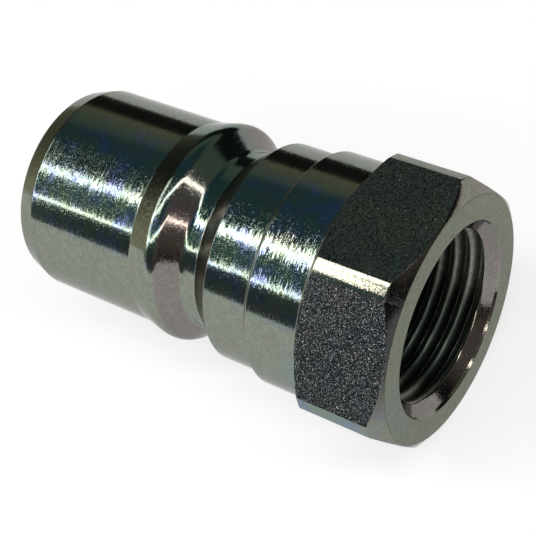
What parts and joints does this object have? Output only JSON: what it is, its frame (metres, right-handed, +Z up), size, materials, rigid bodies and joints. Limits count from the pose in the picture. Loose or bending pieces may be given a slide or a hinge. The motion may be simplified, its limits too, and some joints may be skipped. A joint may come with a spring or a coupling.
{
  "type": "quick coupling plug",
  "caption": "Male half of a hydraulic quick coupling: turned plug with a ball groove, a sprung poppet valve in its nose and a hexagon with an internal pipe thread.",
  "frame": {"origin": "centre of the bounding box, on the coupling's axis at mid length", "axes": "+X along the axis, out of the threaded port; -X out of the nose; +Z up, square to a hexagon flat"},
  "size_m": [0.0484, 0.0302, 0.027],
  "materials": {
    "zinc_plated_steel": "turned, zinc plated with a clear iridescent passivate",
    "plain_steel": "fine turned",
    "spring_steel": "drawn wire",
    "black_spring_steel": "phosphated",
    "guide_brass": "fine turned",
    "seal_rubber": "moulded"
  },
  "bodies": {
    "plug": {"plug_body": "zinc_plated_steel", "valve_guide": "guide_brass", "retaining_ring": "black_spring_steel", "valve_spring": "spring_steel"},
    "valve": {"poppet_valve": "plain_steel", "poppet_seal": "seal_rubber"}
  },
  "joints": [
    {"name": "valve_slide", "type": "slide", "parent": "plug", "child": "valve", "axis": [1, 0, 0], "range_m": [0, 0.006], "stiffness_N_per_m": 1500, "springref_m": -0.006, "deforming": ["valve_spring"]}
  ]
}
